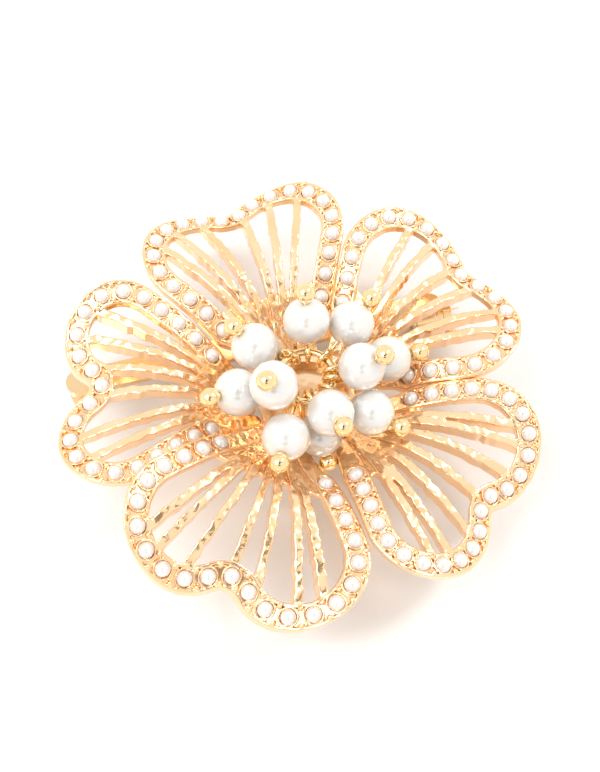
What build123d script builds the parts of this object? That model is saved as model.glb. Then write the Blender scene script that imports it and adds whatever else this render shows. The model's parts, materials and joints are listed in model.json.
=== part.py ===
from build123d import *
import os
from math import asin, atan2, cos, degrees, hypot, pi, radians, sin, sqrt

# A flower brooch: five cast petals with pearl-set rims round a hub, a cluster of pearl drops
# on a ring in the hub, and a bar pin fastening on the back. Millimetres, +Z towards the front.
# The origin is on the flower's axis, on the back of the bar, which lies against the cloth.

# ---------------------------------------------------------------- driving dimensions
CROWN_Z = 10.2          # height of the petals' crown line above the back of the bar
CROWN_U = 18.0          # distance of that crown line from the flower's axis
FOOT_X = -6.0           # the crown's profile gives way to the steeper inner one here, from the crown line
OUTER_CURVE = (0.13, 0.051, 0.001)      # rise, fall and lift of the profile outside that place
INNER_CURVE = (-2.83, 0.85, 0.027)      # height, slope and bend of the profile inside it
CROSS_CURVE = (0.004, 0.00015)          # how far the petal's sides curl up, and how that grows outwards
DOME_FROM_U = 3.0       # the dome surface is drawn through a grid of points
DOME_STEP_U = 1.75
DOME_ROWS = 19
DOME_ACROSS = (-18, -12, -8, -4, 0, 4, 8, 12, 18)
DOME_TOLERANCE = 0.02
SLOPE_STEP = 0.05       # step over which the dome's slope is measured

RIM_HALF = 1.55         # half width of a petal's rim
RIM_THICK = 1.5         # rim thickness, measured upright
CHANNEL_HALF = 1.16     # half width of the channel in the rim
CHANNEL_DEEP = 0.35
CHANNEL_LEAD = 1.5      # the channel starts this far before the first pearl
RIB_WIDE = 0.9
RIB_DEEP = 2.3
RIB_PROUD = 0.15        # ribs stand this far above the rim
RIB_ROOT = 0.3          # a rib's place across the petal at its inner end, over its outer place
RIB_SPREAD = 1.22       # the same at its outer end
RIB_END_U = 29.5        # ribs are drawn out to here, and end under the rim
RIB_UNDER = 0.4         # how far the ribs reach under the rim
RIB_OVERLAP = 2.0       # and how far they run into the web
WEB_U = 13.5            # the solid web round the hub ends here
STRAP = 1.0             # width of the rim where it runs into the web
NECK_U = 4.2            # the petal outline starts here, inside the hub wall
NECK_HALF = 3.1         # half width of the petal outline there
KNEE_U = 9.7            # between the neck and the pearls the outline is drawn in to here
KNEE_HALF = 4.5
SEAM_GAP = 0.06         # gap between neighbouring petals

RIM_PEARL_R = 1.0
RIM_PEARL_FLAT = 0.5    # the flat back is this far below the rim pearl's centre
RIM_PEARL_SINK = 0.2    # the rim pearl's centre is this far below the rim's top
SEAT_R = 1.02

HUB_R = 6.5
HUB_TOP = -6.4          # heights below the crown line, for the hub and the back
HUB_FLOOR = -8.2
HUB_BOTTOM = -9.2
HUB_LIP = 1.1           # width of the hub's rim at the top, and how far it rises inwards
HUB_LIP_RISE = 0.1
HUB_WALL = 1.6          # thickness of the hub's wall at its floor

RING_R = 3.5            # the ring the pearl drops hang on
RING_WIRE_R = 0.5
RING_W = 0.5
POST_R = 0.45

PIN_WIRE_R = 0.35       # headpins of the pearl drops
EYE_R = 1.2             # centreline radius of the eye
EYE_GAP = 16            # degrees that the eye is left open
PEARL_R = 3.0
PEARL_BORE_R = 0.42
BALL_R = 1.25
BALL_OFFSET = 4.22      # pearl centre to ball centre

# Each pearl drop: azimuth of its eye on the ring, heading and rise of its pin in degrees,
# and the distance from its eye to its pearl's centre.
DROPS = [
    (88.0, 94.5, 64.0, 5.0),
    (47.5, 48.0, 24.0, 5.6),
    (168.0, 155.5, 49.5, 5.4),
    (224.5, 239.0, 70.0, 8.2),
    (200.0, 207.5, 31.0, 7.0),
    (245.0, 260.0, 21.0, 6.9),
    (291.5, 297.0, 39.5, 4.7),
    (349.0, 359.5, 51.0, 5.5),
    (10.5, 13.5, 1.5, 7.4),
    (322.0, 332.0, -1.0, 6.2),
    (276.0, 292.0, -44.5, 4.9),
    (128.0, 157.0, -36.0, 4.7),
]
LEG_AZIMUTHS = (29, 148, 260)

BAR_ANGLE = 14.0        # the back bar's direction, from +X
BAR_LEFT = -31.8        # bar ends, along its own direction
BAR_RIGHT = 22.8
BAR_SHIFT = 11.3        # how far the bar's line passes beyond the flower's axis
BAR_WIDE = 3.6
BAR_THICK = 1.0
END_FLAT = 0.05         # the bar's round ends keep this much of a flat
PAD_R = 6.2
FACE_R = 5.3            # the pad's flat resting face, inside a shallow turned groove
GROOVE_WIDE = 0.4
GROOVE_DEEP = 0.3
NECK_WIDE = 7.0         # the arm from the pad to the bar
STEM_DROP = 2.2         # the pin stem's axis is this far below the bar
STEM_R = 0.55
STEM_EYE_R = 1.3
STEM_EYE_PLAY = 0.2     # the eye is this much thinner than the gap between the ears
TIP_R = 0.08            # the pin's point is rounded off to this radius
TIP_X = 26.0            # the pin's point, along the bar
TIP_LEN = 9.0
HINGE_X = -30.0
EAR_R = 1.5
EAR_THICK = 0.8
EAR_GAP = 1.7
EAR_WEB = 0.6           # thickness of the plate that joins the ears
RIVET_R = 0.5
RIVET_HEAD_R = 0.85
RUN_CLEARANCE = 0.05    # radial clearance of turning pieces
CATCH_X = 21.0
CATCH_R = 2.0
CATCH_LEN = 4.0
FOOT_WIDE = 2.2         # the catch's foot, which bites this far into its tube
FOOT_BITE = 0.3
SLEEVE_R = 1.45
SLEEVE_BORE_R = 0.85
SLOT_WIDE = 1.4
END_PLAY = 0.05
COLLAR_LEN = 1.2
FLANGE_LEN = 0.5
FLANGE_INSET = 0.15     # the flange is this much smaller than the housing
SLOT_INSET = 0.1        # the sleeve's slot is this much narrower than the housing's
LEVER_REACH = 3.3
LEVER_R = 0.4
LEVER_BITE = 0.3        # how far the lever starts inside the collar's wall
KNOB_R = 0.8

FAR = 50.0              # cutting shapes reach past everything: halves, heights and widths of them
CUT_BELOW = 20.0
CUT_TALL = 30.0
SECTOR_REACH = 60
SECTOR_TALL = 40
SIDE_ROOM = 60
CLEAR_ABOVE = 1.0
WEB_BACK = 10.0
WEB_ACROSS = 40.0
HUB_CUT_TALL = 80
THROUGH = 20            # length of a cutter that passes right through a small part
BORE_CUT = 4
HEAD_CUT = 3


# ---------------------------------------------------------------- the five petals
class Petal:
    """One petal: where it sits, its outline and its ribs."""

    def __init__(self, name, azimuth, tilt, roll, lift, base, lobe, lobe_r, notch_r, pearls, ribs):
        self.name = name
        self.azimuth = azimuth
        self.tilt = tilt
        self.roll = roll
        self.lift = lift
        self.base = base
        self.lobe = lobe
        self.lobe_r = lobe_r
        self.notch_r = notch_r
        self.pearls = pearls
        self.ribs = ribs

    def place(self, shape):
        """Rolls and tilts about the crown line, lifts, and turns to the petal's azimuth."""
        at_crown = Location((CROWN_U, 0, 0))
        tipped = at_crown * Rot(Y=-self.tilt) * at_crown.inverse() * Rot(X=self.roll)
        return Rot(Z=self.azimuth) * Pos(0, 0, CROWN_Z + self.lift) * tipped * shape


PETALS = [
    Petal("front_right", -35.0, -1.5, -1.0, -0.6, (12.2, 6.5), (22.6, 5.8), 6.8, 2.8, 24,
          (10.3, 8.0, 4.3, 0.0, -3.9, -7.6, -10.0)),
    Petal("back_right", 38.0, 0.5, 1.5, 0.0, (11.6, 6.9), (21.2, 5.3), 7.3, 3.5, 21,
          (9.2, 5.5, 1.3, -2.4, -6.8, -10.2)),
    Petal("back_left", 112.4, 2.0, 2.0, 0.0, (11.8, 7.2), (22.8, 5.6), 7.1, 2.8, 22,
          (10.5, 7.2, 3.6, -1.4, -5.0, -8.9)),
    Petal("left", 182.3, 10.5, -2.0, 0.1, (12.0, 5.3), (24.3, 6.9), 5.7, 2.7, 23,
          (9.4, 6.0, 1.3, -2.4, -5.8, -9.2)),
    Petal("front_left", 252.0, 2.4, -12.0, 1.4, (11.9, 7.1), (22.7, 6.7), 7.0, 3.8, 23,
          (10.5, 7.5, 3.0, -0.3, -4.7, -8.4, -11.0)),
]


def height(u, v):
    """Height of a petal's top over the crown line: u runs outwards, v across the petal."""
    x = u - CROWN_U
    inner = x - FOOT_X
    if inner > 0:
        w = OUTER_CURVE[0] * x - OUTER_CURVE[1] * x**2 + OUTER_CURVE[2] * x**3
    else:
        w = INNER_CURVE[0] + INNER_CURVE[1] * inner + INNER_CURVE[2] * inner**2
    return w + (CROSS_CURVE[0] + CROSS_CURVE[1] * max(x, FOOT_X) ** 2) * v**2


def top_normal(u, v):
    """Direction square to the dome's top."""
    step = SLOPE_STEP
    du = (height(u + step, v) - height(u - step, v)) / (2 * step)
    dv = (height(u, v + step) - height(u, v - step)) / (2 * step)
    return Vector(-du, -dv, 1).normalized()


def dome_face(raise_by):
    """The dome as one smooth surface, raised a little."""
    grid = []
    for i in range(DOME_ROWS):
        u = DOME_FROM_U + DOME_STEP_U * i
        grid.append([Vector(u, v, height(u, v) + raise_by) for v in DOME_ACROSS])
    return Face.make_surface_from_array_of_points(grid, tol=DOME_TOLERANCE, min_deg=3)


def dome_slab(top, thick):
    """A layer of the dome: its top is raised by top, and it is thick deep."""
    return Solid.extrude(dome_face(top), Vector(0, 0, -thick))


def side_line(petal):
    """Direction angle of the straight side of the pearl line, and its outward normal."""
    du = petal.lobe[0] - petal.base[0]
    dv = petal.lobe[1] - petal.base[1]
    reach = hypot(du, dv)
    turn = asin(petal.lobe_r / reach)
    angle = atan2(dv, du) + turn
    return angle, (-sin(angle), cos(angle))


def notch_centre(petal):
    return petal.lobe[0] + sqrt((petal.lobe_r + petal.notch_r) ** 2 - petal.lobe[1] ** 2)


def outline(petal, offset, neck_half):
    """Closed outline of the petal, offset outwards from the line the rim pearls follow."""
    angle, normal = side_line(petal)
    r = petal.lobe_r + offset
    un = notch_centre(petal)
    from_angle = angle + pi / 2
    to_angle = atan2(-petal.lobe[1], un - petal.lobe[0])
    neck = (NECK_U, neck_half)
    knee = (KNEE_U, KNEE_HALF + neck_half - NECK_HALF)
    base = (petal.base[0] + offset * normal[0], petal.base[1] + offset * normal[1])

    def on_lobe(a):
        return (petal.lobe[0] + r * cos(a), petal.lobe[1] + r * sin(a))

    side = [base, on_lobe(from_angle)]
    lobe = [on_lobe(from_angle), on_lobe((from_angle + to_angle) / 2), on_lobe(to_angle)]
    dip = (un - (petal.notch_r - offset), 0)

    def mirror(p):
        return (p[0], -p[1])

    edges = [
        Edge.make_three_point_arc(neck, knee, side[0]),
        Edge.make_line(*side),
        Edge.make_three_point_arc(*lobe),
        Edge.make_three_point_arc(lobe[2], dip, mirror(lobe[2])),
        Edge.make_three_point_arc(mirror(lobe[2]), mirror(lobe[1]), mirror(lobe[0])),
        Edge.make_line(mirror(side[1]), mirror(side[0])),
        Edge.make_three_point_arc(mirror(side[0]), mirror(knee), mirror(neck)),
        Edge.make_line(mirror(neck), neck),
    ]
    return Face(Wire(edges))


def prism(face):
    """The face drawn out from well below the dome to well above it."""
    return Solid.extrude(Pos(0, 0, -CUT_BELOW) * face, Vector(0, 0, CUT_TALL))


def beyond(u):
    """Everything further out than u."""
    return Pos(u + FAR / 2, 0, 0) * Box(FAR, SIDE_ROOM, SIDE_ROOM)


def strip(outer_v):
    """One rib in plan: it runs from inside the web to the rim, spreading as it goes."""
    start = Vector(WEB_U - RIB_OVERLAP, RIB_ROOT * outer_v)
    end = Vector(RIB_END_U, RIB_SPREAD * outer_v)
    along = end - start
    middle = (start + end) * 0.5
    turn = degrees(atan2(along.Y, along.X))
    return Pos(middle.X, middle.Y) * Rot(Z=turn) * Rectangle(along.length, RIB_WIDE)


def fan(petal):
    """The ribs and the web that they run into, in plan, reaching a little way under the rim."""
    web = Pos(WEB_U - WEB_BACK, 0) * Rectangle(2 * WEB_BACK, WEB_ACROSS)
    joined = web + [strip(v) for v in petal.ribs]
    inside = outline(petal, RIB_UNDER - RIM_HALF, NECK_HALF - STRAP)
    return (joined & inside).faces()


def pearl_stations(petal):
    """Evenly spaced places along the pearl line, with the direction across the rim."""
    angle, normal = side_line(petal)
    un = notch_centre(petal)
    from_angle = angle + pi / 2
    to_angle = atan2(-petal.lobe[1], un - petal.lobe[0])
    tangent = (petal.lobe[0] + petal.lobe_r * normal[0], petal.lobe[1] + petal.lobe_r * normal[1])
    straight = hypot(tangent[0] - petal.base[0], tangent[1] - petal.base[1])
    lobe_len = petal.lobe_r * (from_angle - to_angle)
    dip_half = atan2(petal.lobe[1], un - petal.lobe[0])
    dip_len = petal.notch_r * dip_half
    half = straight + lobe_len + dip_len

    def at(s):
        if s > half:
            u, v = at(2 * half - s)
            return (u, -v)
        if s <= straight:
            t = s / straight
            return (
                petal.base[0] + t * (tangent[0] - petal.base[0]),
                petal.base[1] + t * (tangent[1] - petal.base[1]),
            )
        if s <= straight + lobe_len:
            a = from_angle - (s - straight) / petal.lobe_r
            return (petal.lobe[0] + petal.lobe_r * cos(a), petal.lobe[1] + petal.lobe_r * sin(a))
        a = pi - dip_half + (s - straight - lobe_len) / petal.notch_r
        return (un + petal.notch_r * cos(a), petal.notch_r * sin(a))

    return [at(2 * half * i / (petal.pearls - 1)) for i in range(petal.pearls)]


def rim_plane(u, v):
    """Plane on the rim's top at a pearl, looking along the rim's own normal."""
    return Plane(origin=(u, v, height(u, v)), z_dir=top_normal(u, v))


def flat_backed(radius):
    """A ball with a flat back, sunk a little below the rim's top."""
    below = Pos(0, 0, -RIM_PEARL_FLAT - radius) * Box(3 * radius, 3 * radius, 2 * radius)
    return Pos(0, 0, -RIM_PEARL_SINK) * (Sphere(radius) - below)


def seam_azimuth(a, b):
    """Azimuth of the seam between petal a and the next one round, b."""

    def spread(petal):
        reach = hypot(*petal.lobe)
        return degrees(atan2(petal.lobe[1], petal.lobe[0]) + asin((petal.lobe_r + RIM_HALF) / reach))

    b_azimuth = b.azimuth if b.azimuth > a.azimuth else b.azimuth + 360
    return (a.azimuth + spread(a) + b_azimuth - spread(b)) / 2


def sector(start, end):
    """The upright wedge of space a petal may fill, between two seams."""
    reach = SECTOR_REACH
    middle = radians((start + end) / 2)
    a = radians(start)
    b = radians(end)
    shift = SEAM_GAP / 2 / sin(radians((end - start) / 2))
    apex = (shift * cos(middle), shift * sin(middle))
    corners = [
        apex,
        (apex[0] + reach * cos(a), apex[1] + reach * sin(a)),
        (apex[0] + 1.5 * reach * cos(middle), apex[1] + 1.5 * reach * sin(middle)),
        (apex[0] + reach * cos(b), apex[1] + reach * sin(b)),
    ]
    return Solid.extrude(Face(Wire.make_polygon(corners)), Vector(0, 0, SECTOR_TALL))


def make_petal(petal, room):
    """A petal's casting: rim, ribs and web, with the channel and the pearls' seats cut in the rim."""
    rim = prism(outline(petal, RIM_HALF, NECK_HALF)) - prism(outline(petal, -RIM_HALF, NECK_HALF - STRAP))
    body = rim & dome_slab(0, RIM_THICK)
    for face in fan(petal):
        body += prism(face) & dome_slab(RIB_PROUD, RIB_DEEP)
    channel = prism(outline(petal, CHANNEL_HALF, NECK_HALF)) - prism(
        outline(petal, -CHANNEL_HALF, NECK_HALF - STRAP)
    )
    layer = dome_slab(CLEAR_ABOVE, CLEAR_ABOVE + CHANNEL_DEEP)
    channel = channel & beyond(petal.base[0] - CHANNEL_LEAD) & layer
    body -= channel
    seat = flat_backed(SEAT_R)
    body -= [rim_plane(u, v).location * seat for u, v in pearl_stations(petal)]
    placed = petal.place(body) & room
    return placed - Cylinder(HUB_R, HUB_CUT_TALL)


def make_rim_pearls(petal):
    """All the flat-backed pearls of one petal's rim."""
    pearl = flat_backed(RIM_PEARL_R)
    stations = pearl_stations(petal)
    return Compound(children=[petal.place(rim_plane(u, v).location * pearl) for u, v in stations])


# ---------------------------------------------------------------- hub and the ring in it
def level(w):
    """Absolute height of a level given below the crown line."""
    return CROWN_Z + w


def make_hub():
    """A shallow cast cup: the petals join its wall, and the back bar its flat bottom."""
    section = [
        (0, HUB_BOTTOM),
        (HUB_R, HUB_BOTTOM),
        (HUB_R, HUB_TOP),
        (HUB_R - HUB_LIP, HUB_TOP + HUB_LIP_RISE),
        (HUB_R - HUB_WALL, HUB_FLOOR),
        (0, HUB_FLOOR),
    ]
    face = Face(Wire.make_polygon([Vector(r, 0, level(w)) for r, w in section]))
    return Solid.revolve(face, 360, Axis.Z)


def make_ring():
    """The wire ring of the pearl cluster, on three legs that stand on the hub's floor."""
    wire = Face(Wire.make_circle(RING_WIRE_R, Plane(origin=(RING_R, 0, level(RING_W)), z_dir=(0, -1, 0))))
    ring = Solid.revolve(wire, 360, Axis.Z)
    leg_len = RING_W - HUB_FLOOR
    for azimuth in LEG_AZIMUTHS:
        leg = Pos(RING_R, 0, level(HUB_FLOOR) + leg_len / 2) * Cylinder(POST_R, leg_len)
        ring += Rot(Z=azimuth) * leg
    return ring


# ---------------------------------------------------------------- the pearl drops
def drop_plane(drop):
    """Plane with its origin in the drop's eye, x along its pin and z along the eye's axis."""
    ring_azimuth, heading, rise, _ = drop
    origin = Vector(RING_R * cos(radians(ring_azimuth)), RING_R * sin(radians(ring_azimuth)), level(RING_W))
    out = Vector(cos(radians(heading)), sin(radians(heading)), 0)
    along = out * cos(radians(rise)) + Vector(0, 0, sin(radians(rise)))
    across = Vector(-out.Y, out.X, 0)
    return Plane(origin=origin, x_dir=along, z_dir=across)


def make_headpin(drop):
    """Ball head, straight shank and an eye turned in the wire's end, left a little open."""
    reach = drop[3] + BALL_OFFSET
    eye = Rot(Z=EYE_GAP / 2) * Torus(EYE_R, PIN_WIRE_R, major_angle=360 - EYE_GAP)
    shank = Pos((EYE_R + reach) / 2, 0, 0) * Rot(Y=90) * Cylinder(PIN_WIRE_R, reach - EYE_R)
    ball = Pos(reach, 0, 0) * Sphere(BALL_R)
    return drop_plane(drop).location * (eye + shank + ball)


def make_pearl(drop):
    """A round pearl, drilled for its headpin."""
    bead = Sphere(PEARL_R) - Rot(Y=90) * Cylinder(PEARL_BORE_R, 3 * PEARL_R)
    return drop_plane(drop).location * Pos(drop[3], 0, 0) * bead


# ---------------------------------------------------------------- the fastening on the back
# Here x runs along the bar, y across it and z up, with the bar's underside at z = 0.
def on_back(shape):
    return Rot(Z=BAR_ANGLE) * Pos(0, BAR_SHIFT, level(HUB_BOTTOM) - BAR_THICK) * shape


def make_bar():
    """Flat bar with rounded ends, with an arm to the round pad that is soldered to the hub.

    A groove in the pad's underside sets its resting face apart from the bar, whose own
    underside carries the hinge and the catch.
    """
    length = BAR_RIGHT - BAR_LEFT
    bar = Box(length, BAR_WIDE, BAR_THICK)
    bar = fillet(bar.edges().filter_by(Axis.Z), BAR_WIDE / 2 - END_FLAT)
    pad = Pos(0, -BAR_SHIFT, BAR_THICK / 2) * Cylinder(PAD_R, BAR_THICK)
    arm = Pos(0, -BAR_SHIFT / 2, BAR_THICK / 2) * Box(NECK_WIDE, BAR_SHIFT, BAR_THICK)
    groove = Cylinder(FACE_R + GROOVE_WIDE, 2 * GROOVE_DEEP) - Cylinder(FACE_R, 2 * GROOVE_DEEP)
    groove = Pos(0, -BAR_SHIFT, 0) * groove
    return on_back(Pos((BAR_LEFT + BAR_RIGHT) / 2, 0, BAR_THICK / 2) * bar + arm + pad - groove)


def make_hinge_ears():
    """Two ears under the bar's left end, bored for the rivet."""
    ears = []
    for side in (-1, 1):
        plate = Pos(0, 0, -STEM_DROP / 2) * Box(2 * EAR_R, EAR_THICK, STEM_DROP)
        plate += Rot(X=90) * Pos(0, -STEM_DROP, 0) * Cylinder(EAR_R, EAR_THICK)
        plate -= Rot(X=90) * Pos(0, -STEM_DROP, 0) * Cylinder(RIVET_R, 3 * EAR_THICK)
        ears.append(Pos(HINGE_X, side * (EAR_GAP + EAR_THICK) / 2, 0) * plate)
    web = Pos(HINGE_X, 0, -EAR_WEB / 2) * Box(2 * EAR_R, EAR_GAP + 2 * EAR_THICK, EAR_WEB)
    return on_back(ears[0] + ears[1] + web)


def make_rivet():
    """Hinge rivet with two round heads."""
    half = EAR_GAP / 2 + EAR_THICK
    shaft = Cylinder(RIVET_R, 2 * half)
    head = Sphere(RIVET_HEAD_R) & Pos(0, 0, RIVET_HEAD_R) * Box(HEAD_CUT, HEAD_CUT, 2 * RIVET_HEAD_R)
    rivet = shaft + Pos(0, 0, half) * head + Pos(0, 0, -half) * Rot(X=180) * head
    return on_back(Pos(HINGE_X, 0, -STEM_DROP) * Rot(X=90) * rivet)


def make_stem():
    """The pin: a flat eye on the rivet, a straight wire and a long point."""
    straight = TIP_X - TIP_LEN - HINGE_X
    eye = Rot(X=90) * Cylinder(STEM_EYE_R, EAR_GAP - STEM_EYE_PLAY)
    wire = Pos(straight / 2, 0, 0) * Rot(Y=90) * Cylinder(STEM_R, straight)
    tip = Pos(straight + TIP_LEN / 2, 0, 0) * Rot(Y=90) * Cone(STEM_R, TIP_R, TIP_LEN)
    bore = Rot(X=90) * Cylinder(RIVET_R + RUN_CLEARANCE, BORE_CUT)
    return on_back(Pos(HINGE_X, 0, -STEM_DROP) * (eye + wire + tip - bore))


def make_catch():
    """Catch housing: a short tube with a slot below, on a foot under the bar."""
    tube = Cylinder(CATCH_R, CATCH_LEN) - Cylinder(SLEEVE_R + RUN_CLEARANCE, CATCH_LEN)
    tube = Rot(Y=90) * tube
    slot = Pos(0, 0, -CATCH_R) * Box(CATCH_LEN + 1, SLOT_WIDE, 2 * CATCH_R)
    foot_tall = STEM_DROP - SLEEVE_R - FOOT_BITE
    foot = Pos(0, 0, STEM_DROP - foot_tall / 2) * Box(CATCH_LEN, FOOT_WIDE, foot_tall)
    return on_back(Pos(CATCH_X, 0, -STEM_DROP) * (tube - slot + foot))


def make_sleeve():
    """Safety sleeve: a slotted tube held by its flange and collar, with a ball-ended lever."""
    body = Cylinder(SLEEVE_R, CATCH_LEN + 2 * END_PLAY)
    half = CATCH_LEN / 2 + END_PLAY
    body += Pos(0, 0, half + COLLAR_LEN / 2) * Cylinder(CATCH_R, COLLAR_LEN)
    body += Pos(0, 0, -half - FLANGE_LEN / 2) * Cylinder(CATCH_R - FLANGE_INSET, FLANGE_LEN)
    body -= Cylinder(SLEEVE_BORE_R, THROUGH)
    sleeve = Rot(Y=90) * body
    sleeve -= Pos(0, 0, -CATCH_R) * Box(THROUGH, SLOT_WIDE - SLOT_INSET, 2 * CATCH_R)
    lever_len = LEVER_REACH - SLEEVE_BORE_R - LEVER_BITE
    lever = Pos(half + COLLAR_LEN / 2, -LEVER_REACH + lever_len / 2, 0)
    sleeve += lever * Rot(X=90) * Cylinder(LEVER_R, lever_len)
    sleeve += Pos(half + COLLAR_LEN / 2, -LEVER_REACH, 0) * Sphere(KNOB_R)
    return on_back(Pos(CATCH_X, 0, -STEM_DROP) * sleeve)


# ---------------------------------------------------------------- writing the parts
def petal_room(index):
    """The space petal number index may fill: its sector, above the back bar."""
    petal = PETALS[index]
    start = seam_azimuth(PETALS[index - 1], petal)
    if start > petal.azimuth:
        start -= 360
    end = seam_azimuth(petal, PETALS[(index + 1) % len(PETALS)])
    above = Pos(0, 0, level(HUB_BOTTOM) + FAR) * Box(4 * FAR, 4 * FAR, 2 * FAR)
    return sector(start, end) & above


def write(shape, name):
    export_step(shape, f"parts/{name}.step")


def main():
    os.makedirs("parts", exist_ok=True)
    for index, petal in enumerate(PETALS):
        write(make_petal(petal, petal_room(index)), f"petal_{petal.name}")
        write(make_rim_pearls(petal), f"rim_pearls_{petal.name}")
    write(make_hub(), "hub")
    write(make_ring(), "cluster_ring")
    for number, drop in enumerate(DROPS, 1):
        write(make_headpin(drop), f"headpin_{number:02d}")
        write(make_pearl(drop), f"pearl_{number:02d}")
    write(make_bar(), "back_bar")
    write(make_hinge_ears(), "hinge_ears")
    write(make_rivet(), "hinge_rivet")
    write(make_stem(), "pin_stem")
    write(make_catch(), "catch_housing")
    write(make_sleeve(), "safety_sleeve")


main()
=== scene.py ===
import json
from math import asin, atan2, cos, degrees, hypot, pi, radians, sin, sqrt

import bpy
import numpy as np
from mathutils import Matrix, Vector


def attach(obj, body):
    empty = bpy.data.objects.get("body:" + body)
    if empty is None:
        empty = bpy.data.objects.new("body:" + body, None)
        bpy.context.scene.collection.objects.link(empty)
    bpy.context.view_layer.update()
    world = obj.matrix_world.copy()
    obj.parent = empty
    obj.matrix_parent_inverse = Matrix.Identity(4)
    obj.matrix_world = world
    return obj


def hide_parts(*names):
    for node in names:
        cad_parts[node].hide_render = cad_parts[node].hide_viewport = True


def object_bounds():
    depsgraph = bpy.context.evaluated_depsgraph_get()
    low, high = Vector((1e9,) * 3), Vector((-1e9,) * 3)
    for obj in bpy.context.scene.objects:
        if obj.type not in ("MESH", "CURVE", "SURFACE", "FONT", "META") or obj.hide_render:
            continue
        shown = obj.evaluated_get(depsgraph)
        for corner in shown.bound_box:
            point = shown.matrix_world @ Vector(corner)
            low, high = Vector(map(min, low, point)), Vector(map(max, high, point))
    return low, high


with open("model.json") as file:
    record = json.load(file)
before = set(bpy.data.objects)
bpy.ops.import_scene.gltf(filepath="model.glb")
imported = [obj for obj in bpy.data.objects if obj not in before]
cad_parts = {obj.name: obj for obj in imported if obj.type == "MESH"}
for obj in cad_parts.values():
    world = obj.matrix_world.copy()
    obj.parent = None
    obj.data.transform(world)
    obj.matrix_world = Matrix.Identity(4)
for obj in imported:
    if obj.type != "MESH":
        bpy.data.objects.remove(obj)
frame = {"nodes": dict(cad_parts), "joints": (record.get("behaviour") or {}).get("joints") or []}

# A gold-plated flower brooch with pearl-set rims and a cluster of pearl drops, lying face up.
# Petal sizes below are millimetres in a petal's own frame: u runs outwards, v across and
# w upwards from the crown line. Everything is scaled to metres when its mesh is made.
CAD_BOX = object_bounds()
MM = 0.001

# ---------------------------------------------------------------- driving dimensions
CROWN_Z = 10.2          # height of the crown line above the back of the bar
CROWN_U = 18.0
FOOT_X = -6.0           # the crown's profile gives way to the steeper inner one here
OUTER_CURVE = (0.13, 0.051, 0.001)
INNER_CURVE = (-2.83, 0.85, 0.027)
CROSS_CURVE = (0.004, 0.00015)
SLOPE_STEP = 0.05
RIM_HALF = 1.55
RIM_THICK = 1.5
CHANNEL_HALF = 1.14
CHANNEL_DEEP = 0.36
RIB_HALF = 0.5
RIB_DEEP = 2.3
RIB_PROUD = 0.15
RIB_ROOT = 0.3
RIB_SPREAD = 1.22
RIB_START_U = 11.5
RIB_END_U = 29.5
WEB_END_U = 14.2
WEB_TOP = -0.5
WEB_BOTTOM = -2.1
NECK_U = 5.6
NECK_HALF = 2.2
KNEE_U = 9.0
KNEE_HALF = 3.3
RIM_PEARL_R = 1.0
RIM_PEARL_FLAT = 0.5
RIM_PEARL_SINK = 0.2
CUP_R = 0.985
GRAIN_R = 0.31
GRAIN_DOWN = 0.04
GRAIN_OFFSET = 0.98
COLLAR_R = 0.14         # the raised lip round each cup
COLLAR_OUT = 0.12
COLLAR_DOWN = 0.16
STRAP_STEPS = 8
STRAP_NARROW = 0.6
STRAP_RISE = 0.08
WEB_FLARE = 1.2
FAN_UNDER = 0.45        # how far web and ribs reach under the rim
RIB_SINK = 0.3          # ribs sink by this much over the last stretch before the rim
RIB_SINK_OVER = 1.6

# How deep the casting's dents and ripples are, and the size of their cells
HAMMER_CELL = 0.85
RIPPLE_CELL = 0.45
RIM_DENT = 0.035
RIM_RIPPLE = 0.02
WEB_DENT = 0.12
RIB_DENT = 0.05

# A rib's hammered facets lie between knots along it
KNOTS = 42
KNOT_STEP = (0.5, 1.05)
KNOT_LEAD = 8.0
FACET_LEAN = (0.04, 0.22)
FACET_RISE = 0.07
FACET_WIDEN = (-0.06, 0.09)
FACET_WANDER = 0.09
FACET_REACH = 0.7

# How softly each form's edges are rounded, and how softly it runs into the next
RIM_EDGE = 0.3
STRAP_EDGE = 0.5
STRAP_JOIN = 0.3
WEB_EDGE = 0.4
RIB_EDGE = 0.16
RIB_JOIN = 0.34
FAN_JOIN = 0.22
CHANNEL_EDGE = 0.2
CHANNEL_JOIN = 0.1
COLLAR_JOIN = 0.1
CUP_JOIN = 0.05
GRAIN_JOIN = 0.07

# The grid that a petal is meshed on
VOXEL = 0.143
PINCH_FILL = -0.01
GRID_SIDE = 16.0
GRID_TOP = 0.9
GRID_MARGIN = 0.5
NECK_REACH = 1.6
PULL_STEP = 0.02
PULL_LIMIT = 0.6
LEAST_SLOPE = 0.3
FAR = 99.0

PEARL_R = 3.0
BORE_R = 0.42
BALL_R = 1.25
BALL_OFFSET = 4.22
WIRE_R = 0.35
WIRE_SIDES = 14
EYE_R = 1.2
EYE_FROM = 16           # degrees round the eye where its wire starts and ends
EYE_TO = 338
EYE_STEPS = 40
MOUTH_WIDE = 0.16       # the small dish at each end of a pearl's bore
MOUTH_DEEP = 0.25
MOUTH_EASE = (0.05, 0.06)
BACK_EASE = 0.06        # rounding at the edge of a rim pearl's flat back
RIM_PEARL_SIDES = 28
BEAD_SIDES = 72
BALL_SIDES = 44
DROP_COUNT = 12

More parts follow.
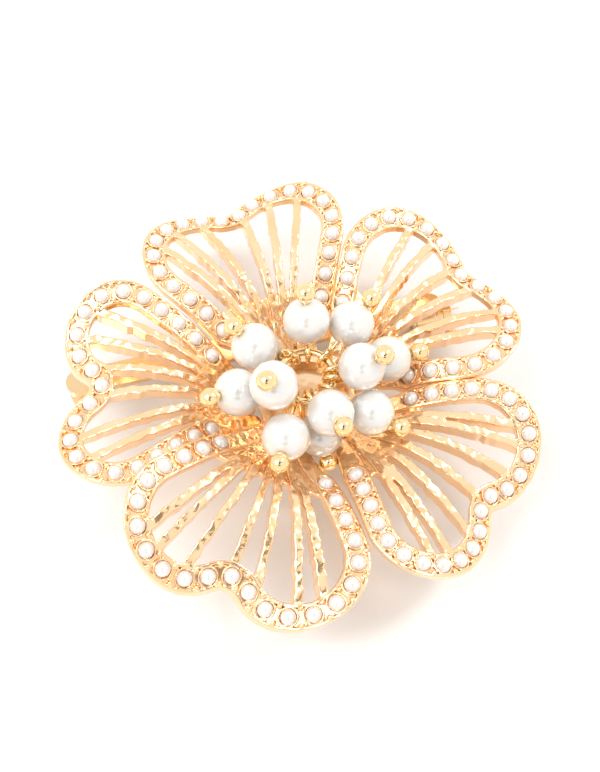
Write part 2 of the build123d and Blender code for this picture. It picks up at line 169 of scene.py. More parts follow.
# ---------------------------------------------------------------- stage dimensions, in metres
ELEVATION = radians(64.9)
VIEW_DISTANCE = 0.1322
LENS = 31.65            # millimetres, as is the sensor
SENSOR = 24.0
SHIFT = (-0.0088, -0.0109)
NEAR_CLIP = 0.005
RIG_DISTANCE = 0.16
RIG_SIZE = 0.11
RIG_OUTLINE = [(-1.0, -0.25), (-0.3, -0.45), (-0.2, -0.9), (0.3, -0.8), (0.35, -0.3), (1.0, 0.1),
               (0.95, 0.5), (0.3, 0.35), (0.15, 0.9), (-0.3, 0.8), (-0.35, 0.3), (-1.0, 0.2)]
CARD_ELEVATION = radians(40)
CARD_DISTANCE = 0.2
CARD_HALF = (0.035, 0.022)
CARD_CORNERS = [(-1, -1), (1, -1), (1, 1), (-1, 1)]
FLOOR_SIZE = 3.0
WORLD_STRENGTH = 1.08


class Petal:
    """One petal: where it sits, its pearl line and its ribs."""

    def __init__(self, name, azimuth, tilt, roll, lift, base, lobe, lobe_r, notch_r, pearls, ribs):
        self.name = name
        self.azimuth = azimuth
        self.tilt = tilt
        self.roll = roll
        self.lift = lift
        self.base = base
        self.lobe = lobe
        self.lobe_r = lobe_r
        self.notch_r = notch_r
        self.pearls = pearls
        self.ribs = ribs
        du = lobe[0] - base[0]
        dv = lobe[1] - base[1]
        self.side_angle = atan2(dv, du) + asin(lobe_r / hypot(du, dv))
        self.normal = (-sin(self.side_angle), cos(self.side_angle))
        self.tangent = (lobe[0] + lobe_r * self.normal[0], lobe[1] + lobe_r * self.normal[1])
        self.notch_u = lobe[0] + sqrt((lobe_r + notch_r) ** 2 - lobe[1] ** 2)
        self.lobe_from = self.side_angle + pi / 2
        self.lobe_to = atan2(-lobe[1], self.notch_u - lobe[0])
        self.dip = atan2(lobe[1], self.notch_u - lobe[0])

    def matrix(self):
        """From the petal's own frame to the flower's, in millimetres."""
        at_crown = Matrix.Translation((CROWN_U, 0, 0))
        tip = at_crown @ Matrix.Rotation(radians(-self.tilt), 4, "Y") @ at_crown.inverted()
        up = Matrix.Translation((0, 0, CROWN_Z + self.lift))
        turn = Matrix.Rotation(radians(self.azimuth), 4, "Z")
        return turn @ up @ tip @ Matrix.Rotation(radians(self.roll), 4, "X")


PETALS = [
    Petal("front_right", -35.0, -1.5, -1.0, -0.6, (12.2, 6.5), (22.6, 5.8), 6.8, 2.8, 24,
          (10.3, 8.0, 4.3, 0.0, -3.9, -7.6, -10.0)),
    Petal("back_right", 38.0, 0.5, 1.5, 0.0, (11.6, 6.9), (21.2, 5.3), 7.3, 3.5, 21,
          (9.2, 5.5, 1.3, -2.4, -6.8, -10.2)),
    Petal("back_left", 112.4, 2.0, 2.0, 0.0, (11.8, 7.2), (22.8, 5.6), 7.1, 2.8, 22,
          (10.5, 7.2, 3.6, -1.4, -5.0, -8.9)),
    Petal("left", 182.3, 10.5, -2.0, 0.1, (12.0, 5.3), (24.3, 6.9), 5.7, 2.7, 23,
          (9.4, 6.0, 1.3, -2.4, -5.8, -9.2)),
    Petal("front_left", 252.0, 2.4, -12.0, 1.4, (11.9, 7.1), (22.7, 6.7), 7.0, 3.8, 23,
          (10.5, 7.5, 3.0, -0.3, -4.7, -8.4, -11.0)),
]


def height(u, v):
    """Height of a petal's top over the crown line."""
    x = u - CROWN_U
    inner = x - FOOT_X
    outer_part = OUTER_CURVE[0] * x - OUTER_CURVE[1] * x**2 + OUTER_CURVE[2] * x**3
    inner_part = INNER_CURVE[0] + INNER_CURVE[1] * inner + INNER_CURVE[2] * inner**2
    curl = (CROSS_CURVE[0] + CROSS_CURVE[1] * np.maximum(x, FOOT_X) ** 2) * v**2
    return np.where(inner > 0, outer_part, inner_part) + curl


# ---------------------------------------------------------------- shaping by signed distance
def smooth_min(a, b, k):
    """The smaller of two distances, blended over k where they meet."""
    near = np.maximum(k - np.abs(a - b), 0.0) / k
    return np.minimum(a, b) - near * near * k * 0.25


def smooth_max(a, b, k):
    return -smooth_min(-a, -b, k)


def to_segment(u, v, a, b):
    """Distance from points to the line from a to b, and how far along it they are."""
    du = b[0] - a[0]
    dv = b[1] - a[1]
    t = np.clip(((u - a[0]) * du + (v - a[1]) * dv) / (du * du + dv * dv), 0.0, 1.0)
    return np.hypot(u - a[0] - t * du, v - a[1] - t * dv), t


def pearl_line_offset(petal, u, v):
    """Signed offset from the line the rim pearls follow, positive outwards."""
    v = np.abs(v)
    reach, _ = to_segment(u, v, petal.base, petal.tangent)
    outwards = (u - petal.base[0]) * petal.normal[0] + (v - petal.base[1]) * petal.normal[1]
    best = np.where(outwards < 0, -reach, reach)
    angle = np.arctan2(v - petal.lobe[1], u - petal.lobe[0])
    ring = np.hypot(u - petal.lobe[0], v - petal.lobe[1]) - petal.lobe_r
    on_lobe = (angle <= petal.lobe_from) & (angle >= petal.lobe_to)
    best = np.where(on_lobe & (np.abs(ring) < np.abs(best)), ring, best)
    angle = np.arctan2(v, u - petal.notch_u)
    ring = petal.notch_r - np.hypot(u - petal.notch_u, v)
    on_notch = angle >= pi - petal.dip
    return np.where(on_notch & (np.abs(ring) < np.abs(best)), ring, best)


def stations(petal, count, start=0.0):
    """Places spaced evenly along the pearl line, each with the direction across the rim."""
    straight = hypot(petal.tangent[0] - petal.base[0], petal.tangent[1] - petal.base[1])
    lobe_len = petal.lobe_r * (petal.lobe_from - petal.lobe_to)
    half = straight + lobe_len + petal.notch_r * petal.dip

    def at(s):
        if s > half:
            u, v, across = at(2 * half - s)
            return u, -v, (across[0], -across[1])
        if s <= straight:
            t = s / straight
            u = petal.base[0] + t * (petal.tangent[0] - petal.base[0])
            v = petal.base[1] + t * (petal.tangent[1] - petal.base[1])
            return u, v, petal.normal
        if s <= straight + lobe_len:
            a = petal.lobe_from - (s - straight) / petal.lobe_r
            u = petal.lobe[0] + petal.lobe_r * cos(a)
            v = petal.lobe[1] + petal.lobe_r * sin(a)
            return u, v, (cos(a), sin(a))
        a = pi - petal.dip + (s - straight - lobe_len) / petal.notch_r
        return petal.notch_u + petal.notch_r * cos(a), petal.notch_r * sin(a), (-cos(a), -sin(a))

    step = 2 * half / (petal.pearls - 1)
    return [at(step * (i + start)) for i in range(count)]


def nearest(points, u, v):
    """Distance in plan to the nearest of some points."""
    best = np.full(np.shape(u), FAR, np.float32)
    for pu, pv in points:
        best = np.minimum(best, np.hypot(u - pu, v - pv))
    return best


class Noise:
    """Smooth random heights on a square lattice, from -1 to 1."""

    def __init__(self, seed, cell, size=96):
        self.values = np.random.default_rng(seed).uniform(-1.0, 1.0, (size, size)).astype(np.float32)
        self.cell = cell

    def at(self, x, y):
        size = len(self.values)
        x = x / self.cell + size // 2
        y = y / self.cell + size // 2
        i = np.floor(x).astype(int)
        j = np.floor(y).astype(int)
        s = x - i
        t = y - j
        s = s * s * (3 - 2 * s)
        t = t * t * (3 - 2 * t)

        def value(a, b):
            return self.values[a % size, b % size]

        low = value(i, j) * (1 - s) + value(i + 1, j) * s
        high = value(i, j + 1) * (1 - s) + value(i + 1, j + 1) * s
        return low * (1 - t) + high * t


class Rib:
    """A rib's line in plan, with hammered facets along its top."""

    def __init__(self, outer_v, rng):
        self.start = (RIB_START_U, RIB_ROOT * outer_v)
        end = (RIB_END_U, RIB_SPREAD * outer_v)
        self.angle = atan2(end[1] - self.start[1], end[0] - self.start[0])
        self.knots = np.cumsum(rng.uniform(*KNOT_STEP, KNOTS)) - KNOT_LEAD
        count = len(self.knots)
        side = np.where(np.arange(count) % 2 == 0, 1.0, -1.0)
        self.lean = side * rng.uniform(*FACET_LEAN, count)
        self.rise = rng.uniform(-FACET_RISE, FACET_RISE, count)
        self.widen = rng.uniform(*FACET_WIDEN, count)
        self.wander = rng.uniform(-FACET_WANDER, FACET_WANDER, count)

    def along(self, u, v):
        return (u - self.start[0]) * cos(self.angle) + (v - self.start[1]) * sin(self.angle)

    def across(self, u, v):
        return (v - self.start[1]) * cos(self.angle) - (u - self.start[0]) * sin(self.angle)

    def side(self, u, v):
        """Signed distance in plan to the rib's side."""
        t = self.along(u, v)
        wander = np.interp(t, self.knots, self.wander)
        return np.abs(self.across(u, v) - wander) - RIB_HALF - np.interp(t, self.knots, self.widen)

    def top(self, u, v):
        """Height of the rib's hammered top."""
        t = self.along(u, v)
        n = np.clip(self.across(u, v), -FACET_REACH, FACET_REACH)
        return np.interp(t, self.knots, self.rise) + n * np.interp(t, self.knots, self.lean)


class PetalForm:
    """The petal as a signed distance in its own flattened frame: s is height over the dome."""

    def __init__(self, petal, seed):
        rng = np.random.default_rng(seed)
        self.petal = petal
        self.ribs = [Rib(v, rng) for v in petal.ribs]
        self.seats = [(u, v) for u, v, _ in stations(petal, petal.pearls)]
        self.grains = []
        for u, v, across in stations(petal, petal.pearls - 1, 0.5):
            for side in (-1, 1):
                shift = side * GRAIN_OFFSET
                self.grains.append((u + shift * across[0], v + shift * across[1]))
        self.hammer = Noise(seed + 1, HAMMER_CELL)
        self.ripple = Noise(seed + 2, RIPPLE_CELL)
        strap = [petal.base, (KNEE_U, KNEE_HALF), (NECK_U, NECK_HALF)]
        self.strap = []
        for i in range(STRAP_STEPS + 1):
            t = i / STRAP_STEPS
            weights = ((1 - t) ** 2, 2 * t * (1 - t), t * t)
            self.strap.append(tuple(sum(w * p[k] for w, p in zip(weights, strap)) for k in (0, 1)))

    def strap_side(self, u, v):
        """Signed distance in plan to the smooth strap that carries the rim on to the hub."""
        v = np.abs(v)
        best = np.full(np.shape(u), FAR, np.float32)
        for i in range(STRAP_STEPS):
            reach, t = to_segment(u, v, self.strap[i], self.strap[i + 1])
            half = RIM_HALF - STRAP_NARROW * (i + t) / STRAP_STEPS
            best = np.minimum(best, reach - half)
        return best

    def plan(self, u, v):
        """Everything about the points that does not depend on their height."""
        fields = {"offset": pearl_line_offset(self.petal, u, v)}
        fields["strap"] = self.strap_side(u, v)
        fields["seat"] = nearest(self.seats, u, v)
        fields["grain"] = nearest(self.grains, u, v)
        fields["ribs"] = [(rib.side(u, v), rib.top(u, v)) for rib in self.ribs]
        fields["dent"] = self.hammer.at(u, v)
        fields["ripple"] = self.ripple.at(u, v)
        fields["u"] = u
        fields["v"] = v
        return fields

    def distance(self, f, s):
        """Signed distance at height s over the dome, for points whose plan fields are f."""
        body = smooth_min(self.rim_and_strap(f, s), self.web_and_ribs(f, s), FAN_JOIN)
        channel = smooth_max(np.abs(f["offset"]) - CHANNEL_HALF, -CHANNEL_DEEP - s, CHANNEL_EDGE)
        body = smooth_max(body, -channel, CHANNEL_JOIN)
        collar = np.hypot(f["seat"] - CUP_R - COLLAR_OUT, s + COLLAR_DOWN) - COLLAR_R
        body = smooth_min(body, collar, COLLAR_JOIN)
        cup = np.maximum(f["seat"] - CUP_R, -RIM_PEARL_SINK - RIM_PEARL_FLAT - s)
        body = smooth_max(body, -cup, CUP_JOIN)
        grain = np.hypot(f["grain"], s + GRAIN_DOWN) - GRAIN_R
        return smooth_min(body, grain, GRAIN_JOIN)

    def rim_and_strap(self, f, s):
        """The plain rim, with the strap that carries it on to the hub."""
        rough = RIM_DENT * f["dent"] + RIM_RIPPLE * f["ripple"]
        layer = np.maximum(s - rough, -RIM_THICK - s)
        rim = smooth_max(np.abs(f["offset"]) - RIM_HALF - rough, layer, RIM_EDGE)
        strap_top = STRAP_RISE + WEB_DENT * f["dent"]
        strap = smooth_max(f["strap"], np.maximum(s - strap_top, -RIM_THICK - s), STRAP_EDGE)
        return smooth_min(rim, strap, STRAP_JOIN)

    def web_and_ribs(self, f, s):
        """The web round the hub and the ribs, which end under the rim."""
        offset = f["offset"]
        inside = np.maximum(offset + RIM_HALF - FAN_UNDER, NECK_U - f["u"])
        near_rim = np.clip((offset + RIM_HALF + RIB_SINK_OVER) / RIB_SINK_OVER, 0.0, 1.0)
        flared = np.abs(f["v"]) - KNEE_HALF - WEB_FLARE * (f["u"] - KNEE_U)
        web = np.maximum(f["u"] - WEB_END_U, flared)
        fan = smooth_max(web, np.maximum(s - WEB_TOP - WEB_DENT * f["dent"], WEB_BOTTOM - s), WEB_EDGE)
        bottom = RIB_PROUD - RIB_DEEP
        for side, top in f["ribs"]:
            ridge = RIB_PROUD + top - RIB_SINK * near_rim + RIB_DENT * f["dent"]
            rib = smooth_max(side, np.maximum(s - ridge, bottom - s), RIB_EDGE)
            fan = smooth_min(fan, rib, RIB_JOIN)
        return np.maximum(fan, inside)


EDGES = [
    (a, tuple(a[k] + (k == axis) for k in range(3)))
    for axis in range(3)
    for a in ((i, j, k) for i in (0, 1) for j in (0, 1) for k in (0, 1))
    if a[axis] == 0
]


def fill_pinches(field):
    """Fills grid faces whose corners are inside and outside crosswise, which would pinch the surface."""
    crossed = True
    while crossed:
        crossed = False
        for axis in range(3):
            turned = np.moveaxis(field, axis, 0)
            corners = [turned[:, :-1, :-1], turned[:, 1:, :-1], turned[:, 1:, 1:], turned[:, :-1, 1:]]
            a, b, c, d = [corner < 0 for corner in corners]
            pinched = (a == c) & (b == d) & (a != b)
            for corner in corners:
                corner[pinched] = np.minimum(corner[pinched], PINCH_FILL)
            crossed = crossed or bool(pinched.any())


def largest_part(points, quads):
    """The biggest connected piece of a mesh, without the specks that a grid can leave."""
    label = np.arange(len(points))
    settled = False
    while not settled:
        linked = label.copy()
        np.minimum.at(linked, quads.ravel(), np.repeat(label[quads].min(axis=1), 4))
        linked = linked[linked]
        settled = bool((linked == label).all())
        label = linked
    keep = label == np.bincount(label).argmax()
    number = np.cumsum(keep) - 1
    return points[keep], number[quads[keep[quads[:, 0]]]]


def surface_net(field):
    """Quads on the zero surface of a sampled field, with one point in each cell it crosses."""
    inside = field < 0
    shape = np.array(field.shape) - 1
    total = np.zeros(shape, np.int8)
    for i in (0, 1):
        for j in (0, 1):
            for k in (0, 1):
                total += inside[i:i + shape[0], j:j + shape[1], k:k + shape[2]]
    cells = np.argwhere((total > 0) & (total < 8))
    number = np.full(shape, -1, np.int64)
    number[tuple(cells.T)] = np.arange(len(cells))
    points = np.zeros((len(cells), 3))
    count = np.zeros(len(cells))
    for a, b in EDGES:
        fa = field[tuple((cells + a).T)]
        fb = field[tuple((cells + b).T)]
        crossed = (fa < 0) != (fb < 0)
        t = np.where(crossed, fa / np.where(crossed, fa - fb, 1.0), 0.0)
        place = np.array(a) + t[:, None] * (np.array(b) - np.array(a))
        points += np.where(crossed[:, None], place, 0.0)
        count += crossed
    points = cells + points / count[:, None]

    quads = []
    for axis in range(3):
        p, q = [k for k in range(3) if k != axis]
        if axis == 1:
            p, q = q, p
        low = [slice(1, -1)] * 3
        high = [slice(1, -1)] * 3
        low[axis] = slice(0, -1)
        high[axis] = slice(1, None)
        start = inside[tuple(low)]
        end = inside[tuple(high)]
        for flip, where in ((False, start & ~end), (True, ~start & end)):
            corner = np.argwhere(where)
            corner[:, [k for k in range(3) if k != axis]] += 1
            ring = []
            for dp, dq in ((-1, -1), (0, -1), (0, 0), (-1, 0)):
                cell = corner.copy()
                cell[:, p] += dp
                cell[:, q] += dq
                ring.append(number[tuple(cell.T)])
            ring = np.stack(ring, axis=1)
            quads.append(ring[:, ::-1] if flip else ring)
    return points, np.concatenate(quads)


def pull_to_surface(form, points, rounds=3):
    """Moves points onto the exact surface along the distance's gradient."""
    step = PULL_STEP
    for _ in range(rounds):
        u, v, s = points.T
        here = form.plan(u, v)
        value = form.distance(here, s)
        gradient = np.stack([
            form.distance(form.plan(u + step, v), s) - value,
            form.distance(form.plan(u, v + step), s) - value,
            form.distance(here, s + step) - value,
        ], axis=1) / step
        slope = np.maximum((gradient**2).sum(1), LEAST_SLOPE)
        move = gradient * (value / slope)[:, None]
        size = np.linalg.norm(move, axis=1, keepdims=True)
        points = points - move * np.minimum(1.0, PULL_LIMIT * VOXEL / np.maximum(size, 1e-9))
    return points


def new_object(name, points, faces, material, body):
    """A mesh piece in metres, from points in millimetres, riding on a CAD body."""
    mesh = bpy.data.meshes.new(name)
    corners = faces if isinstance(faces, list) else faces.tolist()
    mesh.from_pydata((np.asarray(points) * MM).tolist(), [], corners)
    mesh.update()
    mesh.shade_smooth()
    mesh.materials.append(material)
    piece = bpy.data.objects.new(name, mesh)
    bpy.context.scene.collection.objects.link(piece)
    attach(piece, body)
    return piece


def make_petal(petal, index, material):
    """The petal's casting: channelled rim with cups and grains, hammered ribs and fluted web."""
    form = PetalForm(petal, 100 * (index + 1))
    tip = petal.lobe[0] + petal.lobe_r + RIM_HALF
    low = np.array([NECK_U - NECK_REACH, -GRID_SIDE, WEB_BOTTOM - GRID_MARGIN])
    high = np.array([tip + GRID_MARGIN, GRID_SIDE, GRID_TOP])
    counts = np.ceil((high - low) / VOXEL).astype(int)
    axes = [low[k] + VOXEL * np.arange(counts[k]) for k in range(3)]
    u, v = np.meshgrid(axes[0], axes[1], indexing="ij")
    fields = form.plan(u, v)
    layers = [form.distance(fields, s) for s in axes[2]]
    field = np.stack(layers, axis=2)
    fill_pinches(field)
    points, quads = largest_part(*surface_net(field))
    points = pull_to_surface(form, low + points * VOXEL)
    points[:, 2] += height(points[:, 0], points[:, 1])
    place = np.array(petal.matrix())
    placed = points @ place[:3, :3].T + place[:3, 3]
    piece = new_object(f"petal_{petal.name}_casting", placed, quads, material, "flower")
    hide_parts(f"petal_{petal.name}")


# ---------------------------------------------------------------- turned and swept shapes
def lathe(profile, sides):
    """Points and faces of a profile of (radius, height) turned about z.

    It may start and end on the axis, or end where it started, which closes it into a ring.
    """
    points = []
    rings = []
    for r, z in profile:
        if rings and (r, z) == profile[0]:
            rings.append(rings[0])
        elif r < 1e-9:
            rings.append([len(points)] * sides)
            points.append((0.0, 0.0, z))
        else:
            first = len(points)
            for i in range(sides):
                a = 2 * pi * i / sides
                points.append((r * cos(a), r * sin(a), z))
            rings.append(list(range(first, first + sides)))
    faces = []
    for lower, upper in zip(rings, rings[1:]):
        for i in range(sides):
            j = (i + 1) % sides
            corners = [lower[i], lower[j], upper[j], upper[i]]
            faces.append([c for n, c in enumerate(corners) if c not in corners[:n]])
    return np.array(points), faces


def arc_profile(radius, start, end, count, centre=0.0):
    """Profile points on a circle about (0, centre), from start to end degrees of latitude."""
    angles = np.radians(np.linspace(start, end, count))
    return [(max(radius * cos(a), 0.0), centre + radius * sin(a)) for a in angles]


def aim(direction, up_hint=(0.0, 0.0, 1.0)):
    """Rotation that takes z to the direction."""
    z = np.array(direction, float)
    z /= np.linalg.norm(z)
    hint = np.array(up_hint if abs(np.dot(z, up_hint)) < 0.95 else (0.0, 1.0, 0.0), float)
    x = np.cross(hint, z)
    x /= np.linalg.norm(x)
    return np.stack([x, np.cross(z, x), z], axis=1)


def rim_pearl_profile():
    """Half-round pearl: a ball with a flat, slightly rounded back."""
    flat = -degrees(asin(RIM_PEARL_FLAT / RIM_PEARL_R))
    dome = arc_profile(RIM_PEARL_R, flat, 90, 15, -RIM_PEARL_SINK)
    back = -RIM_PEARL_SINK - RIM_PEARL_FLAT
    edge = dome[0][0]
    return [(0.0, back), (edge - BACK_EASE, back)] + dome


def make_rim_pearls(petal, material):
    """All the half-round pearls of one petal's rim."""
    profile_points, profile_faces = lathe(rim_pearl_profile(), RIM_PEARL_SIDES)
    place = np.array(petal.matrix())
    points = []
    faces = []
    step = SLOPE_STEP
    for u, v, _ in stations(petal, petal.pearls):
        du = (height(u + step, v) - height(u - step, v)) / (2 * step)
        dv = (height(u, v + step) - height(u, v - step)) / (2 * step)
        turned = profile_points @ aim((-du, -dv, 1.0)).T + np.array([u, v, height(u, v)])
        first = sum(len(p) for p in points)
        points.append(turned @ place[:3, :3].T + place[:3, 3])
        faces += [[first + c for c in face] for face in profile_faces]
    piece = new_object(
        f"rim_pearl_domes_{petal.name}", np.concatenate(points), faces, material, "flower")
    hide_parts(f"rim_pearls_{petal.name}")


def bead_profile():
    """A drilled pearl: its bore, a small dished mouth at each end and the round outside."""
    mouth = degrees(asin((BORE_R + MOUTH_WIDE) / PEARL_R))
    outside = arc_profile(PEARL_R, mouth - 90, 90 - mouth, 49)
    end = outside[0][1]
    low = [(BORE_R, end + MOUTH_DEEP), (BORE_R + MOUTH_EASE[0], end + MOUTH_EASE[1])]
    high = [(r, -z) for r, z in reversed(low)]
    loop = low + outside + high
    return loop + [loop[0]]


def make_bead(joint, material):
    """The pearl of one drop, on the axis of the joint that it turns on."""
    number = joint["name"].split("_")[1]
    points, faces = lathe(bead_profile(), BEAD_SIDES)
    placed = points @ aim(joint["axis"]).T + np.array(joint["pos_m"]) / MM
    piece = new_object(f"bead_{number}_pearl", placed, faces, material, joint["child"])
    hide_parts(f"pearl_{number}")


def sweep(path, radius, sides):
    """A round wire along a path of points, with flat ends."""
    path = np.array(path, float)
    count = len(path)
    tangent = np.gradient(path, axis=0)
    tangent /= np.linalg.norm(tangent, axis=1, keepdims=True)
    normal = np.cross(tangent[0], (0.3, 0.5, 0.8))
    points = []
    for i in range(count):
        normal = normal - tangent[i] * (normal @ tangent[i])
        normal /= np.linalg.norm(normal)
        other = np.cross(tangent[i], normal)
        for k in range(sides):
            a = 2 * pi * k / sides
            points.append(path[i] + radius * (cos(a) * normal + sin(a) * other))
    faces = []
    for i in range(count - 1):
        for k in range(sides):
            j = (k + 1) % sides
            n = i + 1
            faces.append([i * sides + k, i * sides + j, n * sides + j, n * sides + k])
    faces.append(list(range(sides))[::-1])
    faces.append(list(range((count - 1) * sides, count * sides)))
    return np.array(points), faces


def make_headpin(swing, turn, material):
    """A drop's headpin: ball head, shank and an eye turned round the ring."""
    number = swing["name"].split("_")[1]
    origin = np.array(swing["pos_m"]) / MM
    along = np.array(turn["axis"], float)
    reach = np.linalg.norm(np.array(turn["pos_m"]) / MM - origin) + BALL_OFFSET
    across = -np.array(swing["axis"], float)
    up = np.cross(across, along)
    path = [(reach, 0.0), (EYE_R + 0.9, 0.0), (EYE_R + 0.45, 0.02), (EYE_R + 0.15, 0.12)]
    for a in np.linspace(EYE_FROM, EYE_TO, EYE_STEPS):
        path.append((EYE_R * cos(radians(a)), EYE_R * sin(radians(a))))
    wire = [origin + x * along + y * up for x, y in path]
    points, faces = sweep(wire, WIRE_R, WIRE_SIDES)
    ball_points, ball_faces = lathe(arc_profile(BALL_R, -90, 90, 29), BALL_SIDES)
    ball_points = ball_points @ aim(along).T + origin + reach * along
    faces += [[c + len(points) for c in face] for face in ball_faces]
    piece = new_object(
        f"headpin_{number}_wire", np.concatenate([points, ball_points]), faces, material,
        swing["child"])
    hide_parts(f"headpin_{number}")


# ---------------------------------------------------------------- materials
def node_material(name):
    """A new node material: its tree, its Principled shader and a helper that adds linked nodes."""
    material = bpy.data.materials.new(name)
    material.use_nodes = True
    tree = material.node_tree
    shader = tree.nodes["Principled BSDF"]

    def add(kind, links=None, **values):
        node = tree.nodes.new(kind)
        for key, value in values.items():
            if hasattr(node, key):
                setattr(node, key, value)
            else:
                node.inputs[key.replace("_", " ")].default_value = value
        for key, socket in (links or {}).items():
            tree.links.new(socket, node.inputs[key])
        return node

    return material, tree, shader, add


def ramp(add, fac, stops):
    node = add("ShaderNodeValToRGB", {"Fac": fac})
    elements = node.color_ramp.elements
    while len(elements) < len(stops):
        elements.new(0.5)
    for element, (place, colour) in zip(elements, stops):
        element.position = place
        element.color = (*colour, 1.0)
    return node


def gold(name, light, deep, roughness, hammer, hammer_size, metallic=1.0):
    """Bright gold plate: slow colour drift, fine grain, and a hammered or polished skin."""
    material, tree, shader, add = node_material(name)
    coordinates = add("ShaderNodeTexCoord").outputs["Object"]
    drift = add("ShaderNodeTexNoise", {"Vector": coordinates}, Scale=180.0, Detail=3.0)
    colour = ramp(add, drift.outputs["Fac"], [(0.3, deep), (0.7, light)])
    grain = add("ShaderNodeTexNoise", {"Vector": coordinates}, Scale=2600.0, Detail=4.0)
    rough = add("ShaderNodeMapRange", {"Value": grain.outputs["Fac"]},
                To_Min=roughness * 0.7, To_Max=roughness * 1.4)
    dents = add("ShaderNodeTexVoronoi", {"Vector": coordinates}, Scale=1.0 / hammer_size)
    dents.feature = "SMOOTH_F1"
    first = add("ShaderNodeBump", {"Height": dents.outputs["Distance"]}, Strength=hammer)
    first.inputs["Distance"].default_value = 0.0002
    second = add("ShaderNodeBump", {"Height": grain.outputs["Fac"], "Normal": first.outputs["Normal"]},
                 Strength=0.06)
    second.inputs["Distance"].default_value = 0.00005
    tree.links.new(colour.outputs["Color"], shader.inputs["Base Color"])
    tree.links.new(rough.outputs["Result"], shader.inputs["Roughness"])
    tree.links.new(second.outputs["Normal"], shader.inputs["Normal"])
    shader.inputs["Metallic"].default_value = metallic
    return material


def pearl(name, body, edge, roughness):
    """Imitation pearl: a milky body under a clear lustrous skin, with its colour warming towards its
    edge as a painted reflection of the gold around it.
    """
    material, tree, shader, add = node_material(name)
    coordinates = add("ShaderNodeTexCoord").outputs["Object"]
    facing = add("ShaderNodeLayerWeight", Blend=0.35)
    # Painted reflection: towards the edge the colour turns to the edge colour, which stands in for warm
    # gold mirrored in the pearl's rim.
    body_and_painted_edge_reflection = ramp(add, facing.outputs["Facing"], [(0.25, body), (0.85, edge)])
    cloud = add("ShaderNodeTexNoise", {"Vector": coordinates}, Scale=420.0, Detail=3.0)
    drift = ramp(add, cloud.outputs["Fac"], [(0.3, (1.0, 0.985, 0.97)), (0.7, (0.985, 0.99, 1.0))])
    mix = add("ShaderNodeMix", data_type="RGBA", blend_type="MULTIPLY")
    mix.inputs["Factor"].default_value = 1.0
    tree.links.new(body_and_painted_edge_reflection.outputs["Color"], mix.inputs["A"])
    tree.links.new(drift.outputs["Color"], mix.inputs["B"])
    tree.links.new(mix.outputs["Result"], shader.inputs["Base Color"])
    skin = add("ShaderNodeTexNoise", {"Vector": coordinates}, Scale=1500.0, Detail=2.0)
    bump = add("ShaderNodeBump", {"Height": skin.outputs["Fac"]}, Strength=0.05)
    bump.inputs["Distance"].default_value = 0.00003
    tree.links.new(bump.outputs["Normal"], shader.inputs["Normal"])
    shader.inputs["Roughness"].default_value = roughness
    shader.inputs["Subsurface Weight"].default_value = 0.35
    shader.inputs["Subsurface Radius"].default_value = (0.0035, 0.0028, 0.0022)
    shader.inputs["Subsurface Scale"].default_value = 1.0
    shader.inputs["Metallic"].default_value = 0.32
    shader.inputs["Coat Weight"].default_value = 0.8
    shader.inputs["Coat Roughness"].default_value = 0.06
    return material


def table_top():
    """A plain, almost white table with a very faint mottle."""
    material, tree, shader, add = node_material("table_top")
    coordinates = add("ShaderNodeTexCoord").outputs["Object"]
    mottle = add("ShaderNodeTexNoise", {"Vector": coordinates}, Scale=30.0, Detail=2.0)
    colour = ramp(add, mottle.outputs["Fac"], [(0.3, (0.79, 0.775, 0.76)), (0.7, (0.80, 0.785, 0.77))])
    tree.links.new(colour.outputs["Color"], shader.inputs["Base Color"])
    shader.inputs["Roughness"].default_value = 0.7
    return material


# ---------------------------------------------------------------- the stage
def make_floor(level):
    """A plain table at the brooch's lowest point."""
    bpy.ops.mesh.primitive_plane_add(size=FLOOR_SIZE, location=(0, 0, level))
    floor = bpy.context.object
    floor.name = "table"
    floor.data.materials.append(table_top())


def soft_light(name, place, size, power):
    """A square soft box at place, aimed at the brooch."""
    data = bpy.data.lights.new(name, "AREA")
    data.shape = "RECTANGLE"
    data.size = size
    data.size_y = size
    data.energy = power
    light = bpy.data.objects.new(name, data)
    light.location = place
    light.rotation_euler = (-Vector(place)).to_track_quat("-Z", "Y").to_euler()
    bpy.context.scene.collection.objects.link(light)


def white_world(strength):
    """A plain white studio, equally bright all round."""
    world = bpy.data.worlds.new("studio")
    bpy.context.scene.world = world
    world.use_nodes = True
    background = world.node_tree.nodes["Background"]
    background.inputs["Color"].default_value = (1.0, 0.995, 0.985, 1.0)
    background.inputs["Strength"].default_value = strength


def towards_front(elevation):
    """Unit direction from the brooch towards the front at an elevation."""
    return Vector((0, -cos(elevation), sin(elevation)))


def make_camera():
    """The camera looks down on the crown of the petals from the front."""
    data = bpy.data.cameras.new("view")
    data.sensor_fit = "VERTICAL"
    data.sensor_height = SENSOR
    data.lens = LENS
    data.shift_x = SHIFT[0]
    data.shift_y = SHIFT[1]
    data.clip_start = NEAR_CLIP
    camera = bpy.data.objects.new("view", data)
    target = Vector((0, 0, CROWN_Z * MM))
    back = towards_front(ELEVATION)
    camera.location = target + back * VIEW_DISTANCE
    camera.rotation_euler = (-back).to_track_quat("-Z", "Y").to_euler()
    bpy.context.scene.collection.objects.link(camera)
    bpy.context.scene.camera = camera


def dark_card(name, outline, place, facing, material):
    """A flat dark card that is only there for bright metal to mirror."""
    mesh = bpy.data.meshes.new(name)
    mesh.from_pydata([(x, y, 0.0) for x, y in outline], [], [list(range(len(outline)))])
    mesh.materials.append(material)
    card = bpy.data.objects.new(name, mesh)
    card.location = place
    card.rotation_euler = facing.to_track_quat("Z", "Y").to_euler()
    bpy.context.scene.collection.objects.link(card)


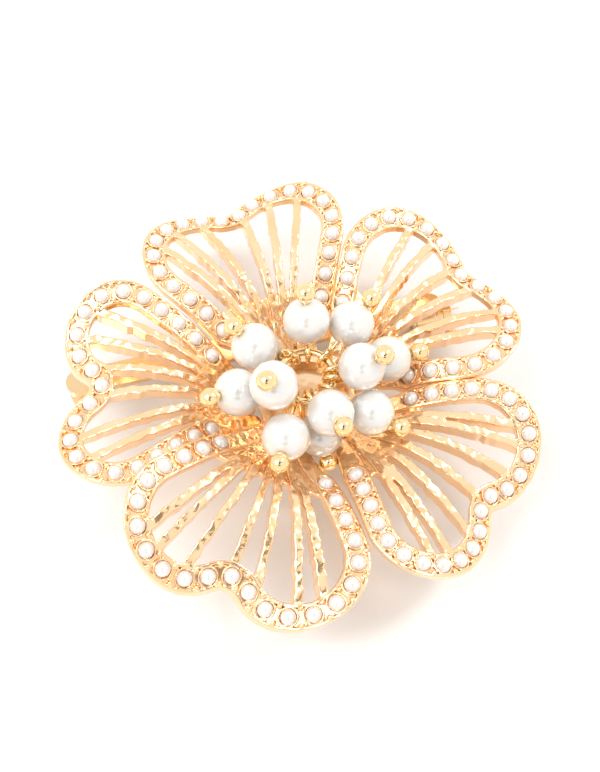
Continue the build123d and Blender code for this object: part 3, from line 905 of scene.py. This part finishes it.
def make_rig():
    """A camera body behind the lens and a card in front, mirrored as small dark marks."""
    material, _, shader, _ = node_material("camera_black")
    shader.inputs["Base Color"].default_value = (0.10, 0.08, 0.055, 1.0)
    back = towards_front(ELEVATION)
    half = 0.5 * RIG_SIZE
    place = Vector((0, 0, CROWN_Z * MM)) + back * RIG_DISTANCE
    dark_card("camera_body", [(x * half, y * half) for x, y in RIG_OUTLINE], place, back, material)
    low = towards_front(CARD_ELEVATION)
    outline = [(x * CARD_HALF[0], y * CARD_HALF[1]) for x, y in CARD_CORNERS]
    dark_card("front_card", outline, low * CARD_DISTANCE, low, material)


# ---------------------------------------------------------------- building
def main():
    """Builds every piece, gives the kept CAD nodes their finish, and sets the stage."""
    cast = gold("cast_gold", (1.0, 0.73, 0.46), (1.0, 0.63, 0.34), 0.17, 0.12, 0.0008, 0.9)
    polished = gold("polished_gold", (1.0, 0.78, 0.45), (1.0, 0.72, 0.38), 0.09, 0.02, 0.0015)
    fastening = gold("fastening_gold", (0.90, 0.66, 0.38), (0.84, 0.58, 0.31), 0.16, 0.04, 0.0015)
    # Each pearl's second colour is its edge colour: a painted warm reflection of the gold, not the
    # pearl's own tone.
    large = pearl("pearl", (0.74, 0.725, 0.70), (0.92, 0.85, 0.77), 0.16)
    small = pearl("rim_pearl", (0.76, 0.71, 0.68), (0.92, 0.81, 0.73), 0.16)
    for index, petal in enumerate(PETALS):
        make_petal(petal, index, cast)
        make_rim_pearls(petal, small)
    joints = {joint["name"]: joint for joint in frame["joints"]}
    for number in range(1, DROP_COUNT + 1):
        turn = joints[f"pearl_{number:02d}_turn"]
        make_bead(turn, large)
        make_headpin(joints[f"drop_{number:02d}_swing"], turn, polished)
    finishes = {"hub": cast, "cluster_ring": polished}
    for name in ("back_bar", "hinge_ears", "hinge_rivet", "pin_stem", "catch_housing", "safety_sleeve"):
        finishes[name] = fastening
    for name, finish in finishes.items():
        node = frame["nodes"][name]
        node.data.materials.clear()
        node.data.materials.append(finish)
    make_floor(CAD_BOX[0].z)
    make_rig()
    white_world(WORLD_STRENGTH)
    soft_light("key", (0.30, 0.14, 0.40), 0.12, 1.0)
    soft_light("overhead", (-0.20, -0.11, 0.39), 0.30, 1.4)
    make_camera()
    bpy.context.scene.view_settings.view_transform = "Standard"


main()
